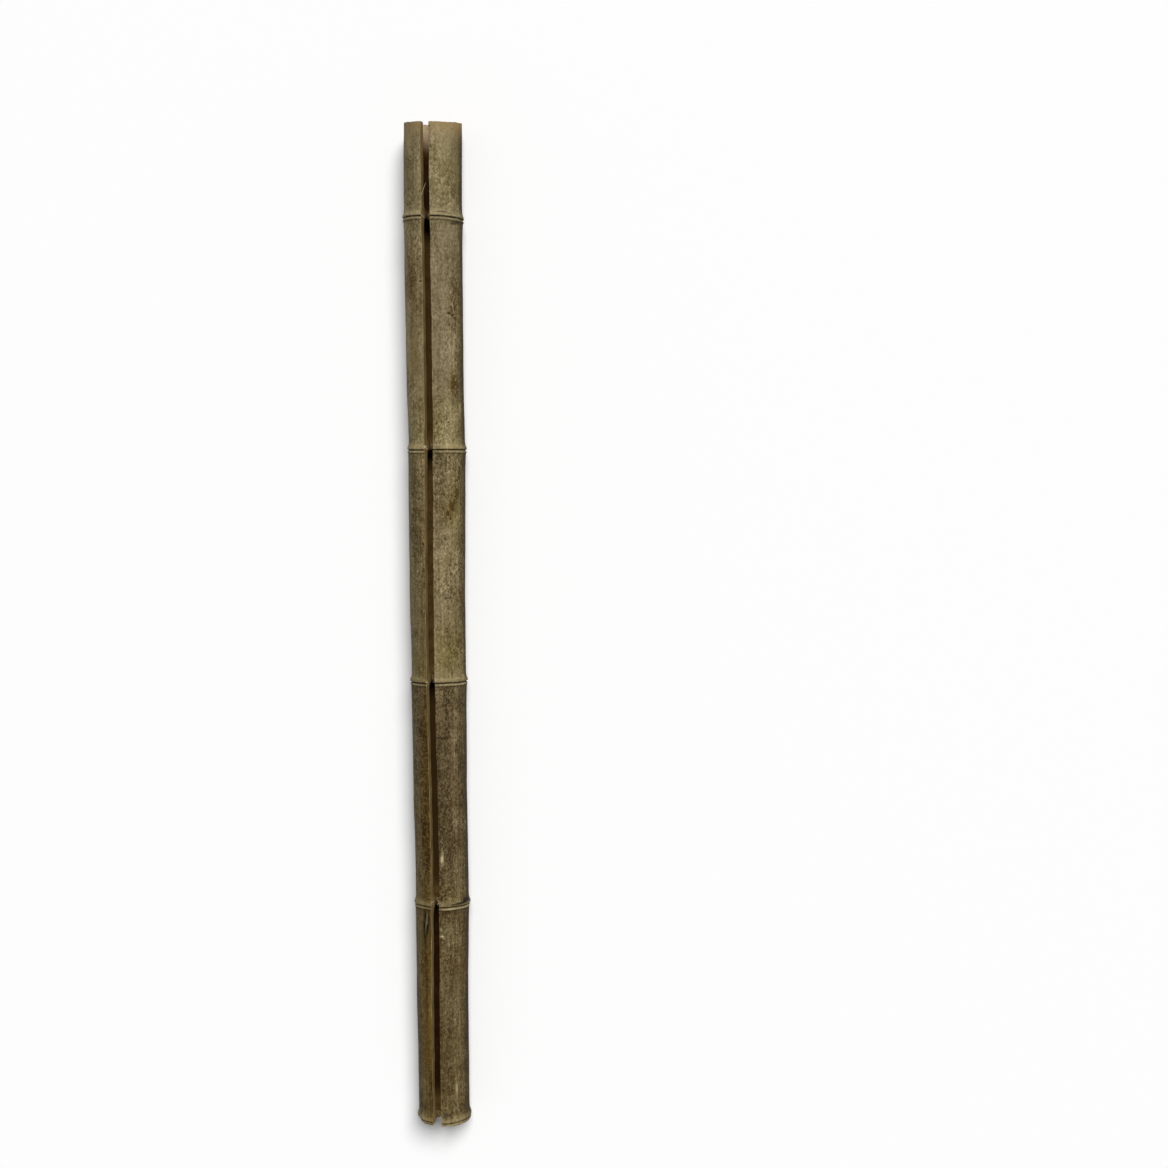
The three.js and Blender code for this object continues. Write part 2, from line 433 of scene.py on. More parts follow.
def kerf():
    """The strip that the saw takes out: its sides wander and are rough, and it is wider at the broken
    edges."""
    deselect()
    bpy.ops.mesh.primitive_grid_add(
        x_subdivisions=1, y_subdivisions=len(KERF_ROWS) - 1, size=1,
        location=(0, -KERF_REACH, 0), rotation=(math.radians(90), 0, 0),
    )
    strip = bpy.context.active_object
    strip.name = "kerf"
    settle()
    edit(strip)
    bpy.ops.mesh.select_all(action="SELECT")
    for _ in range(int(2 * KERF_REACH / KERF_STEP)):
        draw_out((0, KERF_STEP, 0))
    close_up()
    x, y, z = points_of(strip)
    side = np.sign(x)
    row = np.round((z + 0.5) * (len(KERF_ROWS) - 1)).astype(int)
    depth = np.asarray(KERF_ROWS)[row]
    skin_height = axis_height(y) + culm_radius(y) + proud(y)
    height = np.where(row == 0, KERF_FLOOR, skin_height + depth)
    degree = np.clip(EDGE_WEAR_MEAN + waves(side, y, EDGE_WEAR), *EDGE_WEAR_LIMITS)
    risen = np.clip((depth + EDGE_BREAK_DEPTH) / (EDGE_BREAK_DEPTH + EDGE_BREAK_TOP), 0.0, 1.0)
    broken = EDGE_BREAK * degree * risen ** 2
    wobble = waves(2 * side, y, SAW_WOBBLE)
    teeth = SAW_TOOTH * np.random.default_rng(SAW_TOOTH_SEED).normal(size=len(x))
    half = KERF_WIDTH / 2 + broken + wobble + teeth
    reshape(strip, kerf_middle(y) + side * half, y, height)
    return strip


def end_block(place, lean, outward, corner):
    """The block that an end cut takes off, the face that cuts roughened as the saw leaves it."""
    width, length, height = BLOCK_SIZE
    deselect()
    bpy.ops.mesh.primitive_cube_add(size=1, location=(0, outward * length / 2, 0), scale=BLOCK_SIZE)
    block = bpy.context.active_object
    block.name = "end_cut"
    settle()
    for face in block.data.polygons:
        face.select = round(face.normal.y * outward) == -1
    edit(block)
    bpy.ops.mesh.subdivide(number_cuts=BLOCK_CUTS)
    leave()
    x, y, z = points_of(block)
    cutting = (np.abs(y) < NEAR) & (np.abs(x) < width / 2 - NEAR) & (np.abs(z) < height / 2 - NEAR)
    rough = np.random.default_rng(END_CUT_SEED + outward).normal(size=len(x)) * END_CUT_ROUGHNESS
    stroke = END_CUT_ROUGHNESS * np.sin(FULL_TURN * (z + STROKE_SLANT * x) / STROKE_SPACING)
    chip_start, chip_end, chip = corner
    chipped = chip * np.clip((x - chip_start) / (chip_end - chip_start), 0.0, 1.0) ** CHIP_CURVE
    reshape(block, x, y + np.where(cutting, rough + stroke + chipped, 0.0), z)
    choose(block)
    up, across = lean
    block.rotation_euler = (-math.atan(up), 0, math.atan(across))
    block.location = (float(axis_sway(place)), place, float(axis_height(place)))
    settle()
    return block


def worn_underside():
    """What the ground has worn off the two crests that the pole rests on."""
    width, length, height = BLOCK_SIZE
    deselect()
    bpy.ops.mesh.primitive_cube_add(
        size=1, location=(0, 0, -height / 2), scale=(width, POLE_LENGTH + 2 * length, height),
    )
    block = bpy.context.active_object
    settle()
    return block


def on_skin(along, angle):
    """A point on the plain skin, at an angle from the slot in degrees."""
    radius = float(culm_radius(along))
    turn = math.radians(angle)
    return Vector((
        float(axis_sway(along)) + radius * math.sin(turn),
        along,
        float(axis_height(along)) + radius * math.cos(turn),
    ))


def bud_slits():
    """The spindle-shaped slits that a dead bud leaves in the skin."""
    slits = []
    for along, angle, slant, size in BUD_SLITS:
        deselect()
        bpy.ops.mesh.primitive_uv_sphere_add(segments=SLIT_SIDES, ring_count=SLIT_RINGS, radius=0.5)
        slit = bpy.context.active_object
        slit.scale = size
        slit.rotation_euler = (0, math.radians(angle), math.radians(slant))
        slit.location = on_skin(along, angle)
        settle()
        slits.append(slit)
    return join(slits)


# Materials

# The sockets of a Mix node that mixes colours
FACTOR = 0
UNDER = 6
OVER = 7
MIXED = 2

# Dry bamboo is porous, so it shines less than its IOR alone would give
DULL = 0.12

# How patterns are stretched along the pole: the skin's spots a little, and its fibres, the bundles in
# the wall and the lining's wrinkles a lot
SPOT_STRETCH = (1.0, 0.75, 1.0)
FIBRE_STRETCH = (1.0, 0.05, 1.0)
BUNDLE_STRETCH = (1.0, 0.03, 1.0)
WRINKLE_STRETCH = (1.0, 0.06, 1.0)

# A noise's middle value, and the most that one kind of weathering covers of what is under it
MIDDLE = 0.5
COVER_LIMIT = 0.95


def colour(code):
    """An sRGB hex value as linear red, green, blue and alpha."""
    parts = [int(code[i:i + 2], 16) / 255 for i in (1, 3, 5)]
    return [part / 12.92 if part <= 0.04045 else ((part + 0.055) / 1.055) ** 2.4 for part in parts] + [1.0]


def per_mm(size):
    """A pattern's scale, from the size in millimetres of what it draws."""
    return 1 / (size * MM)


def add(tree, kind, inputs=None, **settings):
    """Adds a shader node: its settings, and a value or a link for each input."""
    made = tree.nodes.new("ShaderNode" + kind)
    for name, value in settings.items():
        setattr(made, name, value)
    for name, value in (inputs or {}).items():
        if isinstance(value, bpy.types.NodeSocket):
            tree.links.new(value, made.inputs[name])
        else:
            made.inputs[name].default_value = value
    return made


def carried(tree, name):
    """What the piece's points carry by this name."""
    return add(tree, "Attribute", attribute_name=name).outputs["Fac"]


def stretched(tree, place, stretch):
    return add(tree, "Mapping", {"Vector": place, "Scale": stretch}).outputs[0]


def noise(tree, place, size, detail, roughness=0.5, distortion=0.0):
    """A noise, from the size in millimetres of what it draws."""
    return add(tree, "TexNoise", {
        "Vector": place, "Scale": per_mm(size), "Detail": detail, "Roughness": roughness,
        "Distortion": distortion,
    }).outputs["Fac"]


def reckon(tree, operation, *values, clamp=False):
    return add(tree, "Math", dict(enumerate(values)), operation=operation, use_clamp=clamp).outputs[0]


def ranged(tree, value, low, high, to_low=0.0, to_high=1.0):
    """A value brought from one range to another and kept within it."""
    return add(tree, "MapRange", {
        "Value": value, "From Min": low, "From Max": high, "To Min": to_low, "To Max": to_high,
    }).outputs[0]


def ramp(tree, value, *stops):
    """A colour by a value. Each stop has its place and its colour."""
    made = add(tree, "ValToRGB", {"Fac": value})
    elements = made.color_ramp.elements
    while len(elements) < len(stops):
        elements.new(1.0)
    for element, (place, code) in zip(elements, stops):
        element.position = place
        element.color = colour(code)
    return made.outputs["Color"]


def mix(tree, amount, under, over, blend="MIX"):
    """One colour over another."""
    return add(
        tree, "Mix", {FACTOR: amount, UNDER: under, OVER: over}, data_type="RGBA", blend_type=blend,
    ).outputs[MIXED]


def new_material(name):
    """An empty material, with the place on the piece that its patterns are drawn by."""
    material = bpy.data.materials.new(name)
    material.use_nodes = True
    tree = material.node_tree
    tree.nodes.clear()
    place = add(tree, "TexCoord").outputs["Object"]
    return material, tree, place


def finish_surface(tree, base, roughness, relief, relief_depth, ior):
    """Ends a material in one dull surface, its relief as deep as is given in millimetres."""
    bump = add(tree, "Bump", {"Height": relief, "Strength": 1.0, "Distance": relief_depth * MM})
    surface = add(tree, "BsdfPrincipled", {
        "Base Color": base, "Roughness": roughness, "IOR": ior, "Specular IOR Level": DULL,
        "Normal": bump.outputs["Normal"],
    })
    add(tree, "OutputMaterial", {"Surface": surface.outputs["BSDF"]})


def skin_patterns(tree, place):
    """The noises that break up the skin's colours, and the stretched place that its spots are drawn by."""
    spotted = stretched(tree, place, SPOT_STRETCH)
    fibrous = stretched(tree, place, FIBRE_STRETCH)
    # A single fibre, about 0.2 mm wide, is too fine to show, so fibres are drawn 0.8 mm wide
    patterns = {
        "clouds": noise(tree, spotted, 20.0, 3.0, 0.55, 0.3),
        "patches": noise(tree, spotted, 34.0, 2.0, 0.5, 0.5),
        "blotches": noise(tree, spotted, 3.6, 4.0, 0.75, 0.4),
        "grain": noise(tree, spotted, 1.7, 2.0, 0.7),
        "squiggles": noise(tree, spotted, 4.2, 3.0, 0.55, 1.6),
        "worms": noise(tree, spotted, 3.4, 1.0, 0.5, 0.8),
        "trails": noise(tree, spotted, 9.0, 2.0, 0.5, 1.4),
        "bands": noise(tree, fibrous, 7.0, 2.0),
        "streaks": noise(tree, fibrous, 2.0, 3.0, 0.6),
        "fibres": noise(tree, fibrous, 0.8, 2.0),
    }
    return patterns, spotted


def skin_tone(tree, patterns):
    """The skin's colour, from pale tan to dark brown by its tone, mottled and streaked in patches. The
    tone also carries painted shade along the right flank.
    """
    degree = carried(tree, "tone")
    contrast = ranged(tree, patterns["patches"], 0.3, 0.7, 0.5, 1.5)
    strengths = {}
    for kind in ("mottled", "streaky"):
        strengths[kind] = reckon(tree, "MULTIPLY", carried(tree, kind), contrast)
    for name, share, kind in (
        ("clouds", 0.8, "mottled"), ("blotches", 1.3, "mottled"), ("grain", 1.7, "mottled"),
        ("bands", 1.0, "streaky"), ("streaks", 1.4, "streaky"),
    ):
        off = reckon(tree, "SUBTRACT", patterns[name], MIDDLE)
        uneven = reckon(tree, "MULTIPLY", off, share)
        degree = reckon(tree, "MULTIPLY_ADD", uneven, strengths[kind], degree)
    return ramp(
        tree, ranged(tree, degree, -0.25, 1.55), (0.0, "#a09272"), (0.14, "#8d8060"), (0.33, "#72664a"),
        (0.5, "#594d30"), (0.7, "#3e321a"), (1.0, "#2a200f"),
    )


def skin_spots(tree, patterns, spotted):
    """Where scabs, worm-like flecks, trails and specks may show."""
    spots = {"scabs": ranged(tree, patterns["squiggles"], 0.46, 0.56)}
    # A noise is near its middle value along thin winding lines
    for name, half_width in (("worms", 0.06), ("trails", 0.045)):
        off = reckon(tree, "ABSOLUTE", reckon(tree, "SUBTRACT", patterns[name], MIDDLE))
        spots[name] = ranged(tree, off, 0.0, half_width, 1.0, 0.0)
    # Specks sit singly, 4.5 mm apart where every cell has one. They and the trails come in clusters
    cells = add(tree, "TexVoronoi", {"Vector": spotted, "Scale": per_mm(4.5)})
    specks = ranged(tree, cells.outputs["Distance"], 0.1, 0.24, 1.0, 0.0)
    chosen = add(tree, "SeparateColor", {"Color": cells.outputs["Color"]}).outputs["Red"]
    spots["specks"] = reckon(tree, "MULTIPLY", specks, ranged(tree, chosen, 0.35, 0.9))
    clusters = ranged(tree, patterns["patches"], 0.42, 0.62)
    for name in ("specks", "trails"):
        spots[name] = reckon(tree, "MULTIPLY", spots[name], clusters)
    return spots


def weathered_skin():
    """Old bamboo skin left outdoors: the wax is gone, so it is dull grey-tan, mottled by mould, with fine
    long fibres, brown scabs and specks, dirt and painted shade in the grooves at the nodes, and bare pale
    wood with a painted highlight on their ridges. Painted shade darkens the right flank."""
    material, tree, place = new_material("weathered_bamboo_skin")
    patterns, spotted = skin_patterns(tree, place)
    base = skin_tone(tree, patterns)
    spots = skin_spots(tree, patterns, spotted)
    # Each kind of weathering: how strongly the pole's points carry it, what breaks it up, and the colour
    # that it tints the skin with or covers it by. Pale also paints a highlight on the node ridges and
    # lips, and dirt also paints shade in the node grooves
    for name, broken, blend, code in (
        ("fleck", spots["worms"], "MIX", "#83765a"),
        ("plum", patterns["clouds"], "MULTIPLY", "#d8d2dc"),
        ("olive", patterns["clouds"], "MULTIPLY", "#fbffcb"),
        ("gold", patterns["clouds"], "MULTIPLY", "#e2c87e"),
        ("tan", patterns["blotches"], "MIX", "#8f7850"),
        ("trail", spots["trails"], "MIX", "#48371a"),
        ("scab", spots["scabs"], "MIX", "#3f2f0d"),
        ("speck", spots["specks"], "MIX", "#342611"),
        ("pale", patterns["blotches"], "MIX", "#b0a178"),
        ("dirt_and_shade", patterns["blotches"], "MIX", "#120b04"),
    ):
        amount = reckon(tree, "MULTIPLY", carried(tree, name), broken)
        amount = reckon(tree, "MINIMUM", amount, COVER_LIMIT, clamp=True)
        base = mix(tree, amount, base, colour(code), blend)
    rough = ranged(tree, patterns["blotches"], 0.0, 1.0, 0.6, 0.9)
    relief = reckon(tree, "MULTIPLY_ADD", patterns["fibres"], 0.6, patterns["blotches"])
    finish_surface(tree, base, rough, relief, relief_depth=0.3, ior=1.5)
    return material


def sawn_wall():
    """The culm's wall sawn along its fibres: hard brown bundles in softer, paler tissue, furred by the
    saw, painted darker deep inside as painted shade, less so by the diaphragms as painted light, and
    palest where the skin has broken away along the edge."""
    material, tree, place = new_material("sawn_bamboo_wall")
    bundles = noise(tree, stretched(tree, place, BUNDLE_STRETCH), 1.0, 3.0, 0.6)
    clouds = noise(tree, place, 14.0, 3.0, 0.6)
    base = ramp(tree, bundles, (0.25, "#655131"), (0.5, "#89744c"), (0.75, "#a89369"))
    base = mix(tree, ranged(tree, clouds, 0.4, 0.75, 0.0, 0.7), base, colour("#5c4622"))
    # Painted shade deep inside the cut, lighter by the diaphragms as painted light
    base = mix(tree, carried(tree, "deep_shade"), base, colour("#382207"))
    base = mix(tree, carried(tree, "edge"), base, colour("#b09468"))
    finish_surface(tree, base, 0.75, bundles, relief_depth=0.2, ior=1.45)
    return material


def sawn_end_grain():
    """The culm's wall sawn across: dark dots of fibre bundles, closest together under the skin, in paler
    pith that weather has greyed."""
    material, tree, place = new_material("sawn_bamboo_end_grain")
    dots = add(tree, "TexVoronoi", {"Vector": place, "Scale": per_mm(1.15)}).outputs["Distance"]
    close = reckon(tree, "MULTIPLY_ADD", carried(tree, "rim"), -0.35, dots)
    clouds = noise(tree, place, 6.0, 4.0, 0.6)
    base = ramp(tree, close, (0.05, "#4a3519"), (0.35, "#8a7350"), (0.7, "#a8926d"))
    base = mix(tree, clouds, base, colour("#6f6049"))
    finish_surface(tree, base, 0.8, dots, relief_depth=0.15, ior=1.45)
    return material


def inner_lining():
    """The lining of the hollows: thin, pale, papery tissue with fine lengthwise wrinkles, browned by age
    and stained, with painted shade that darkens it away from the open wide end and painted light that
    keeps it paler by the diaphragms."""
    material, tree, place = new_material("bamboo_inner_lining")
    wrinkles = noise(tree, stretched(tree, place, WRINKLE_STRETCH), 1.6, 3.0, 0.6)
    stains = noise(tree, place, 12.0, 4.0, 0.65)
    base = ramp(tree, wrinkles, (0.25, "#8f7b5c"), (0.75, "#b5a283"))
    # Painted shade away from the open end, and painted light by the diaphragms
    brown = ramp(tree, carried(tree, "aged_with_painted_light"), (0.5, "#7d6232"), (1.0, "#3a2107"))
    base = mix(tree, carried(tree, "browned_and_shaded"), base, brown)
    base = mix(tree, ranged(tree, stains, 0.45, 0.75), base, colour("#4f3719"))
    finish_surface(tree, base, 0.7, wrinkles, relief_depth=0.2, ior=1.45)
    return material


def torn_fibre():
    """Fibres torn out by the saw: clean, pale and dull."""
    material, tree, place = new_material("torn_bamboo_fibre")
    shades = noise(tree, place, 1.2, 2.0)
    base = ramp(tree, shades, (0.3, "#a08a68"), (0.7, "#d6c7ac"))
    finish_surface(tree, base, 0.8, shades, relief_depth=0.1, ior=1.45)
    return material


def finish_with(piece, material):
    piece.data.materials.clear()
    piece.data.materials.append(material)


# Making the pole

skin = weathered_skin()
wall = sawn_wall()
grain = sawn_end_grain()
lining = inner_lining()

pole = whole_culm()
finish_with(pole, skin)
for tool, material in (
    (chambers(), lining),
    (kerf(), wall),
    (end_block(WIDE_END, WIDE_CUT_LEAN, 1, WHOLE_CORNER), grain),
    (end_block(NARROW_END, NARROW_CUT_LEAN, -1, CHIPPED_CORNER), grain),
    (worn_underside(), skin),
    (bud_slits(), skin),
):
    finish_with(tool, material)
    cut(pole, tool)
edit(pole)
bpy.ops.mesh.select_all(action="SELECT")
bpy.ops.mesh.remove_doubles(threshold=SAME_PLACE)
bpy.ops.mesh.dissolve_degenerate(threshold=SLIVER)
leave()


# What weather has painted on the pole, as values on its points

# How dark and how brown the skin of each length between two nodes has gone, from the wide end to the
# narrow one, and how far before a node's crest that of the next length starts
INTERNODE_TONES = (0.26, 0.255, 0.34, 0.65, 0.64, 0.56)
INTERNODE_BROWNS = (0.0, 0.06, 0.28, 0.45, 0.6, 0.6)
NEXT_TONE_BEFORE_CREST = 2.0

# How strong the pale worm-like flecks, the brown trails and the dark specks of each are
INTERNODE_FLECKS = (0.1, 0.15, 0.35, 0.8, 0.6, 0.4)
INTERNODE_TRAILS = (0.4, 0.4, 0.4, 0.4, 0.4, 0.3)
INTERNODE_SPECKS = (1.0, 1.7, 1.7, 0.8, 0.8, 0.8)

# How strongly each is mottled, and how strongly its fibres show as streaks
INTERNODE_MOTTLED = (0.85, 0.95, 1.0, 1.0, 1.0, 1.0)
INTERNODE_STREAKY = (0.4, 0.45, 0.8, 1.0, 1.0, 1.0)

# The darker strips along the pole: one left of the slot, and one of painted shade along the right flank.
# Their angle, half width and strength
DARK_STRIP_AND_FLANK_SHADE = ((-26.0, 9.0, 0.12), (97.0, 7.0, 0.55))

# The right flank and the side that lies down are painted darker, as painted shade, between these two
# angles from the slot, with an edge that wavers. Most of the flecks there are darkened over
SHADED_FROM = 52.0
SHADED_TO = 258.0
SHADE_EDGE = 34.0
SHADE_WAVER = (4.0, 53, (1,), (160.0, 70.0, 31.0))
FLANK_SHADE = 0.46
FLECKS_SHADED_OVER = 0.8

# Bands at a node: place past its crest, and reach before and after. Its ridge and lip are rubbed pale and
# carry a painted highlight, dirt and painted shade fill the groove before the ridge, painted shade fills
# the groove after it, and the skin is a little lighter over all of it. By its diaphragm, the lining and
# the cut are painted paler, as painted light
PALE_RIDGE = (3.4, 0.7, 0.9)
PALE_LIP = (0.0, 3.0, 1.0)
UPPER_GROOVE = (1.95, 0.4, 0.4)
LOWER_GROOVE = (5.0, 0.4, 0.5)
LIGHTER_NODE = (0.0, 12.0, 3.0)
BY_DIAPHRAGM = (-3.0, 10.0, 3.0)

# How strong these are, for each node where they differ, and how the paleness and painted highlight of the
# ridge and the dirt and painted shade in the upper groove are broken up
RIDGE_PALENESS = (0.5, 0.8, 1.1, 1.3, 0.7)
RIDGE_RUBBED_AND_LIT = 0.75
RIDGE_BREAKS = (0.35, 52, (1, 2, 4, 7), (53.0,))
LIP_PALENESS = 0.4
GROOVE_DIRT_AND_SHADE = (2.7, 2.7, 2.8, 1.6, 1.4)
GROOVE_DARKENED = 0.85
GROOVE_BREAKS = (0.3, 54, (1, 3, 6, 11), (41.0,))
LOWER_GROOVE_SHADE = 1.3
NODE_LIGHTNESS = 0.12

# The skin has worn tan at the wide end: how strongly, and over what length
TAN_END = 1.5
TAN_REACH = 12.0

# How dark the lining of each hollow has gone, how much paler the lining and the cut are painted at each
# diaphragm as painted light, from what age the lining is fully browned, and over what length from the
# open wide end it stays pale and then fades into painted shade
INTERNODE_AGED = (1.0, 0.71, 0.55, 0.86, 1.0, 0.45)
PAINTED_LIGHT_AT_DIAPHRAGM = (0.0, 0.22, 0.18, 0.42, 0.45)
PAINTED_LIGHT_ON_CUT_AT_DIAPHRAGM = (0.4, 1.0, 1.0, 1.0, 0.9)
FULLY_BROWNED = 0.5
OPEN_END_PALE = 2.0
OPEN_END_SHADE_FADE = 22.0

# The sawn wall: how far its pale edge reaches in, how deep its painted shade starts, over what depth it
# deepens and how much
EDGE_REACH = 0.6
DARK_FROM_DEPTH = 7.0
DARKENS_OVER = 3.0
DEEP_SHADE = 0.9

# Marks by kind. Each is its place along the pole, its angle round the pole from the slot in degrees, its
# half length, its half width and its strength. Plum, olive and gold tint the skin, dark deepens its tone
# or lightens it where its strength is negative, and smooth takes away its mottling
MARKS = {
    "plum": (
        (148, 20, 20, 7, 0.9), (-105, 30, 65, 24, 1.5), (-190, 34, 45, 20, 0.8), (-330, 50, 60, 20, 0.6),
        (290, 27, 70, 13, 0.7), (-80, -35, 40, 9, 0.7),
    ),
    "olive": (
        (410, 40, 30, 22, 0.6), (192, 34, 22, 26, 0.9), (122, 58, 34, 9, 0.9), (-18, 42, 24, 26, 1.1),
        (-236, 20, 12, 28, 0.8), (-300, -40, 90, 5, 0.7), (180, -35, 16, 14, 0.6), (-30, -30, 14, 14, 0.6),
    ),
    "dark": (
        (-105, 17, 60, 9, 0.34), (-205, 22, 50, 11, 0.3), (-300, 20, 60, 7, 0.2), (-400, 20, 60, 7, 0.1),
        (-150, -30, 105, 12, 0.1), (280, 26, 90, 5, 0.12), (-255, 45, 14, 10, 0.1),
        (-150, -15.5, 100, 4, 0.22), (-350, -17, 80, 4, -0.12), (300, -50, 90, 7, -0.1),
        (-105, 55, 60, 9, -0.16), (-200, 74, 50, 7, -0.14),
    ),
    "scab": (
        (322, -36, 26, 5, 0.6), (300, 64, 34, 8, 0.9), (224, 58, 12, 5, 1.3), (349, 22, 5, 2, 0.8),
        (288, 52, 6, 4, 0.9), (155, 71, 7, 2.6, 1.4), (146, 67, 6, 2.4, 1.3), (137, 62, 6, 2.6, 1.5),
        (127, 57, 6, 3.0, 1.7), (117, 48, 5, 3.2, 1.8), (109, 40, 4, 3.2, 1.8), (105, 34, 3.5, 3.0, 1.4),
        (117, 28, 4, 2.2, 1.0), (30, 76, 15, 5, 0.9), (-8, 66, 22, 10, 0.8), (110, -38, 45, 8, 0.8),
        (-150, 44, 70, 26, 0.45), (-280, 16, 16, 5, 0.8), (-305, 62, 20, 10, 0.6), (-405, 24, 30, 10, 0.6),
        (405, 52, 22, 10, 0.6), (420, -36, 30, 8, 0.6), (-330, -30, 80, 5, 0.6),
    ),
    "gold": (
        (-150, -16, 95, 5, 2.2), (-352, -17, 95, 5.5, 1.8), (60, -15, 100, 3.5, 0.4),
        (-452, -16, 3, 3, 2.0), (224, 55, 14, 4, 1.0), (113, 46, 8, 5, 1.0), (90, -10.5, 70, 1.3, 0.6),
        (-100, -10.5, 60, 1.3, 0.9), (290, -10.5, 70, 1.2, 0.4), (300, -30, 65, 7, 0.7),
        (238, -32, 30, 7, 0.5), (300, 60, 70, 6, 0.3),
    ),
    "pale": (
        (-423, 46, 6, 0.9, 1.3), (-205, 17, 3.2, 1.3, 2.2), (-200, 18, 4, 0.9, 1.2),
        (-270, 13, 1.2, 1.0, 1.2), (-276.5, 15.5, 0.9, 1.6, 2.2), (-259.5, -19.3, 3.5, 0.8, 1.4),
        (-265, -21.2, 3.5, 0.8, 1.4), (-270.5, -23.1, 3.5, 0.8, 1.4), (438, -40, 9, 4, 0.6),
        (205, 74, 2.6, 1.4, 1.6),
    ),
    "dirt_and_shade": (
        (-247.2, 58, 0.7, 10, 3.0), (-245.5, 80, 1.6, 6, 3.2), (-248.9, 30, 0.5, 9, 1.0),
        (-441, -35, 4, 4, 1.2), (-447, 18, 2.5, 4, 1.2), (-259, -23.2, 5, 1.2, 2.6),
        (-269, -27, 5, 1.2, 2.6), (-261, -15.6, 4.5, 1.1, 2.6), (-270, -19.2, 4.5, 1.1, 2.6),
        (-279, -24, 6, 1.8, 1.6), (368, 66, 1.2, 7, 1.4), (376.4, 33, 0.5, 6, 1.8),
        (375.2, 47, 0.5, 4, 1.2), (366.7, 56, 0.8, 3.5, 1.6), (-49.9, 46.6, 1.1, 1.1, 1.6),
        (356, -33, 3.5, 1.3, 0.9), (346, -44, 3.5, 1.4, 0.8), (334, -40, 4, 1.3, 0.9),
        (326, -39, 3.5, 1.3, 0.8), (315, -36, 3, 1.3, 1.3), (282, -31, 5, 1.4, 0.9),
        (274, -38, 3, 1.3, 0.9), (317, 26, 2.5, 1.0, 0.9), (299.5, 25, 2.5, 1.1, 1.1),
        (275, 15, 2.5, 0.9, 0.9), (253, 23.5, 2.5, 1.0, 0.8), (46, 25, 2.5, 1.2, 1.0),
        (37, 28, 3, 1.2, 1.0), (41, 49, 2.5, 1.0, 0.9),
    ),
    "speck": ((315, -36, 45, 4, 1.5), (20, 74, 20, 6, 0.9)),
    "smooth": ((-150, -20, 110, 9, 0.55), (-352, -20, 105, 9, 0.55)),
}

# Chance marks on the side that lies down: their kinds, number, and ranges of half length, half width and
# strength
HIDDEN_MARKS = (
    ("plum", 7, (20, 60), (8, 22), (0.4, 0.9)),
    ("olive", 7, (15, 45), (8, 22), (0.4, 0.9)),
    ("scab", 12, (10, 50), (5, 20), (0.4, 0.9)),
    ("dirt_and_shade", 4, (2, 5), (3, 7), (0.6, 1.4)),
)
HIDDEN_ANGLES = (95, 285)
HIDDEN_SEED = 51


def put(piece, name, values):
    """Writes values on the piece's points for its materials to read by name."""
    attribute = piece.data.attributes.new(name, "FLOAT", "POINT")
    attribute.data.foreach_set("value", np.asarray(values, dtype=np.float32))


def all_marks():
    """The stated marks together with the chance marks of the hidden side."""
    dice = np.random.default_rng(HIDDEN_SEED)
    marks = {kind: list(stated) for kind, stated in MARKS.items()}
    for kind, count, lengths, widths, strengths in HIDDEN_MARKS:
        for _ in range(count):
            marks[kind].append((
                dice.uniform(NARROW_END, WIDE_END), dice.uniform(*HIDDEN_ANGLES),
                dice.uniform(*lengths), dice.uniform(*widths), dice.uniform(*strengths),
            ))
    return marks


def spread(marks, along, around, radius):
    """How strongly some marks show at each point."""
    total = np.zeros(len(along))
    for place, angle, half_length, half_width, strength in marks:
        aside = around - math.radians(angle)
        aside = np.arctan2(np.sin(aside), np.cos(aside)) * radius
        total += strength * np.exp(-(((along - place) / half_length) ** 2) - (aside / half_width) ** 2)
    return total


def lie_of(piece):
    """How each point lies: its place along the pole, its angle from the slot, its distance from the axis,
    the nearest node and how far past that node's ring it is, and its internode."""
    x, y, z = points_of(piece)
    aside = x - axis_sway(y)
    above = z - axis_height(y)
    around = np.arctan2(aside, above)
    node, past = nearest_node(y - ring_shift(around, y))
    internode = np.searchsorted(-NODES, -y + NEXT_TONE_BEFORE_CREST)
    return y, around, np.hypot(aside, above), node, past, internode


def painted_flank_shade(along, around):
    """How much painted shade darkens each point, from 0 to 1."""
    turn = np.degrees(around) % 360.0 + waves(around, along, SHADE_WAVER)
    started = np.clip((turn - SHADED_FROM) / SHADE_EDGE, 0.0, 1.0)
    return started * np.clip((SHADED_TO - turn) / SHADE_EDGE, 0.0, 1.0)


